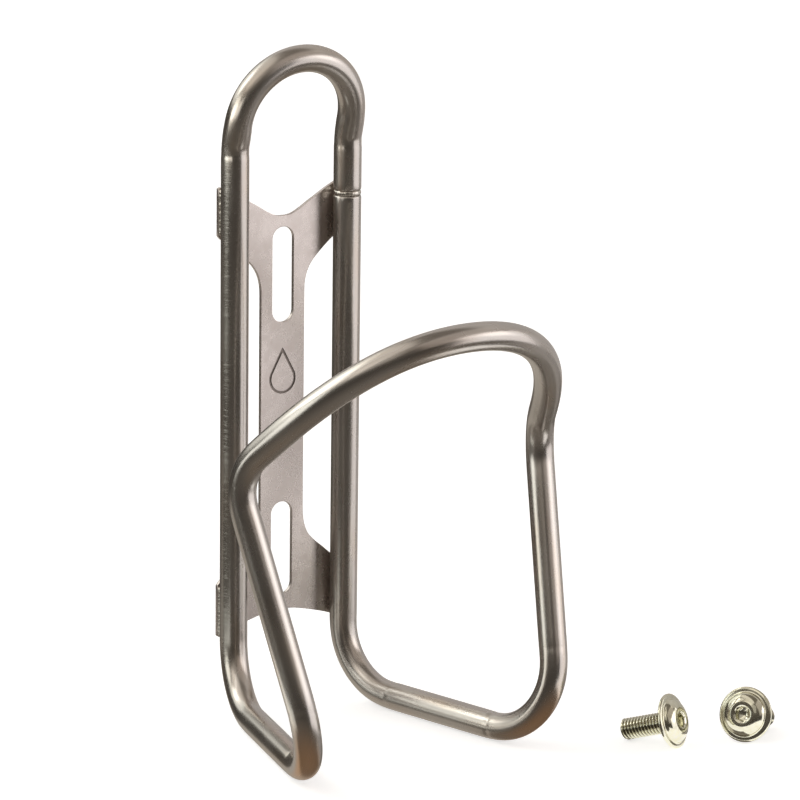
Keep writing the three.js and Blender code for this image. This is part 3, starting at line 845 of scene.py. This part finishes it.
def plated(name):
    """Polished nickel plate, slightly yellow, with faint orange peel, dull spots and painted shade in the thread
    roots.
    """
    m = Nodes(name)
    at = m.add("ShaderNodeAttribute", attribute_name="local")
    n1 = m.noise(at, "Vector", (0.9, 0.9, 0.9), 3, 0.5)
    n2 = m.noise(at, "Vector", (5.0, 5.0, 5.0), 3, 0.6)
    base = m.mix((m.ramp(n1, "Fac", 0.35, 0.7, 0, 1), "Result"), (0.71, 0.69, 0.55), (0.80, 0.79, 0.665))
    # painted shade: the root attribute darkens the thread roots
    root = m.add("ShaderNodeAttribute", attribute_name="root")
    base = m.mix((m.math("MULTIPLY", (root, "Fac"), 0.85), 0), base, (0.20, 0.18, 0.12))
    m.t.links.new(base.outputs[2], m.bsdf.inputs["Base Color"])
    m.bsdf.inputs["Metallic"].default_value = 1.0
    r = m.ramp(n2, "Fac", 0.35, 0.75, 0.09, 0.19)
    m.t.links.new(r.outputs["Result"], m.bsdf.inputs["Roughness"])
    bump = m.add("ShaderNodeBump")
    bump.inputs["Strength"].default_value = 0.1
    bump.inputs["Distance"].default_value = 0.00003
    m.t.links.new(n2.outputs["Fac"], bump.inputs["Height"])
    m.t.links.new(bump.outputs["Normal"], m.bsdf.inputs["Normal"])
    return m.mat


tube_metal = titanium("tube_titanium")
sheet_metal = sheet_titanium("sheet_titanium")
weld_metal = bright_weld("weld_titanium")
bolt_metal = plated("bolt_nickel")


def fit(piece, body, material, slot, *nodes):
    piece.data.materials.clear()
    piece.data.materials.append(material)
    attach(piece, body)
    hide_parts(*nodes)
    return piece


fit(make_tube(), "cage", tube_metal, "tube", "tube_loop")
fit(make_plate(), "cage", sheet_metal, "sheet", "mount_plate")
fit(make_sleeve(), "cage", weld_metal, "tube", "joint_sleeve")
fit(make_seam(), "cage", weld_metal, "weld", "seam_weld")
for i, (name, side, z0, z1) in enumerate((
        ("upper_right", 1, 42.5, 53.0), ("upper_left", -1, 42.5, 53.0),
        ("lower_right", 1, -50.4, -38.9), ("lower_left", -1, -50.4, -38.9))):
    fit(make_weld(name, side, z0, z1, 11 + i), "cage", weld_metal, "weld", "weld_" + name)
for i, name in enumerate(BOLTS):
    fit(make_bolt(name, i + 1), name, bolt_metal, "bolt", name)


# ------------------------------------------------------------------ floor, backdrop and light
def direction(az, el):
    """az 0 is the front, -Y, and +90 is +X."""
    a, e = math.radians(az), math.radians(el)
    return Vector((math.sin(a) * math.cos(e), -math.cos(a) * math.cos(e), math.sin(e)))


REACH = 1.6


def panel(name, az, el, wide, high, radiance, colour=(1.02, 1.0, 0.96)):
    """Soft box seen from the cage at az, el and as wide and high as given, in degrees."""
    w, h = (2 * REACH * math.tan(math.radians(a / 2)) for a in (wide, high))
    data = bpy.data.lights.new(name, "AREA")
    data.shape = "RECTANGLE"
    data.size, data.size_y = w, h
    data.energy = radiance * math.pi * w * h
    data.color = colour
    obj = bpy.data.objects.new(name, data)
    bpy.context.scene.collection.objects.link(obj)
    d = direction(az, el)
    obj.matrix_world = Matrix.Translation(d * REACH) @ d.to_track_quat("Z", "Y").to_matrix().to_4x4()
    obj.visible_camera = False
    return obj


def paper(name, tint_a, tint_b, glow):
    m = Nodes(name)
    pos = m.add("ShaderNodeTexCoord")
    n = m.noise(pos, "Object", (60, 60, 60), 2, 0.5)
    base = m.mix((n, "Fac"), tint_a, tint_b)
    m.t.links.new(base.outputs[2], m.bsdf.inputs["Base Color"])
    m.bsdf.inputs["Roughness"].default_value = 0.9
    m.bsdf.inputs["Specular IOR Level"].default_value = 0.1
    m.bsdf.inputs["Emission Color"].default_value = (1, 1, 1, 1)
    m.bsdf.inputs["Emission Strength"].default_value = glow
    return m.mat


def sheet(name, corners, z, material):
    mesh = bpy.data.meshes.new(name)
    mesh.from_pydata([(x * MM, y * MM, z * MM) for x, y in corners], [], [tuple(range(len(corners)))])
    mesh.materials.append(material)
    obj = bpy.data.objects.new(name, mesh)
    bpy.context.scene.collection.objects.link(obj)
    obj.visible_shadow = False
    return obj


ground = sheet("floor", [(-3000, -3000), (3000, -3000), (3000, 3000), (-3000, 3000)], FLOOR_Z,
               paper("floor_paper", (0.83, 0.84, 0.865), (0.87, 0.88, 0.90), 0.62))
ground.visible_glossy = False
# white card on the floor in front of the bolts, for their reflections only
card = sheet("bolt_card", [(50, -68), (65, -67), (69, -83), (90, -84), (96, -90), (72, -150), (28, -150), (47, -100)], FLOOR_Z + 0.02,
             paper("card_paper", (0.86, 0.86, 0.86), (0.90, 0.90, 0.895), 0.75))
card.visible_camera = card.visible_diffuse = False

panel("key_right", 50, 4, 58, 46, 1.10, (1.03, 0.99, 0.985))
panel("core_right", 50, 18, 26, 22, 0.62, (1.02, 1.0, 0.99))
panel("side_right", 122, 22, 86, 82, 0.40, (1.04, 0.99, 0.955))
panel("strip_left", -103, 10, 31, 28, 1.60, (1.0, 1.02, 0.955))
panel("mid_left", -56, 36, 44, 26, 0.30, (1.06, 1.0, 0.90))
panel("back_left", -150, 33, 52, 42, 1.0, (1.0, 1.02, 0.95))
panel("core_left", -129, 38, 26, 26, 1.1, (1.0, 1.02, 0.97))
panel("low_back", -179, -39, 90, 37, 0.33, (1.07, 1.0, 0.88))
panel("high_front", 27, 38, 64, 50, 0.30, (1.09, 0.98, 0.90))
panel("high_left", -104, 57, 68, 52, 0.60, (1.07, 1.0, 0.90))
panel("low_right", 85, -30, 50, 26, 0.22, (1.04, 0.99, 0.96))



def near_box(name, at, az, el, far, wide, high, radiance, colour):
    """Small soft box a few centimetres away, so that only one part of the cage mirrors it."""
    data = bpy.data.lights.new(name, "AREA")
    data.shape = "RECTANGLE"
    data.size, data.size_y = wide, high
    data.energy = radiance * math.pi * wide * high
    data.color = colour
    obj = bpy.data.objects.new(name, data)
    bpy.context.scene.collection.objects.link(obj)
    d = direction(az, el)
    obj.matrix_world = Matrix.Translation(Vector(at) + d * far) @ d.to_track_quat("Z", "Y").to_matrix().to_4x4()
    obj.visible_camera = False


near_box("bow_box", (-0.015, -0.004, 0.078), -86, -4.5, 0.085, 0.10, 0.034, 1.35, (1.02, 1.0, 0.93))
near_box("arm_box", (0.0, -0.048, -0.065), -110, -11, 0.095, 0.085, 0.026, 0.8, (1.0, 1.02, 0.95))

world = bpy.data.worlds.new("studio")
bpy.context.scene.world = world
world.use_nodes = True
wt = world.node_tree
wt.nodes.clear()
wout = wt.nodes.new("ShaderNodeOutputWorld")
back = wt.nodes.new("ShaderNodeBackground")
where = wt.nodes.new("ShaderNodeTexCoord")
split = wt.nodes.new("ShaderNodeSeparateXYZ")
level = wt.nodes.new("ShaderNodeMapRange")
level.inputs["From Min"].default_value = -1.0
level.inputs["From Max"].default_value = 1.0
ramp = wt.nodes.new("ShaderNodeValToRGB")
ramp.color_ramp.elements[0].color = (0.21, 0.185, 0.157, 1)
ramp.color_ramp.elements[1].color = (0.195, 0.17, 0.145, 1)
middle = ramp.color_ramp.elements.new(0.5)
middle.color = (0.056, 0.050, 0.043, 1)
wt.links.new(where.outputs["Generated"], split.inputs[0])
wt.links.new(split.outputs["Z"], level.inputs["Value"])
wt.links.new(level.outputs["Result"], ramp.inputs[0])
wt.links.new(ramp.outputs["Color"], back.inputs["Color"])
wt.links.new(back.outputs[0], wout.inputs["Surface"])
bpy.context.scene.view_settings.view_transform = "Standard"
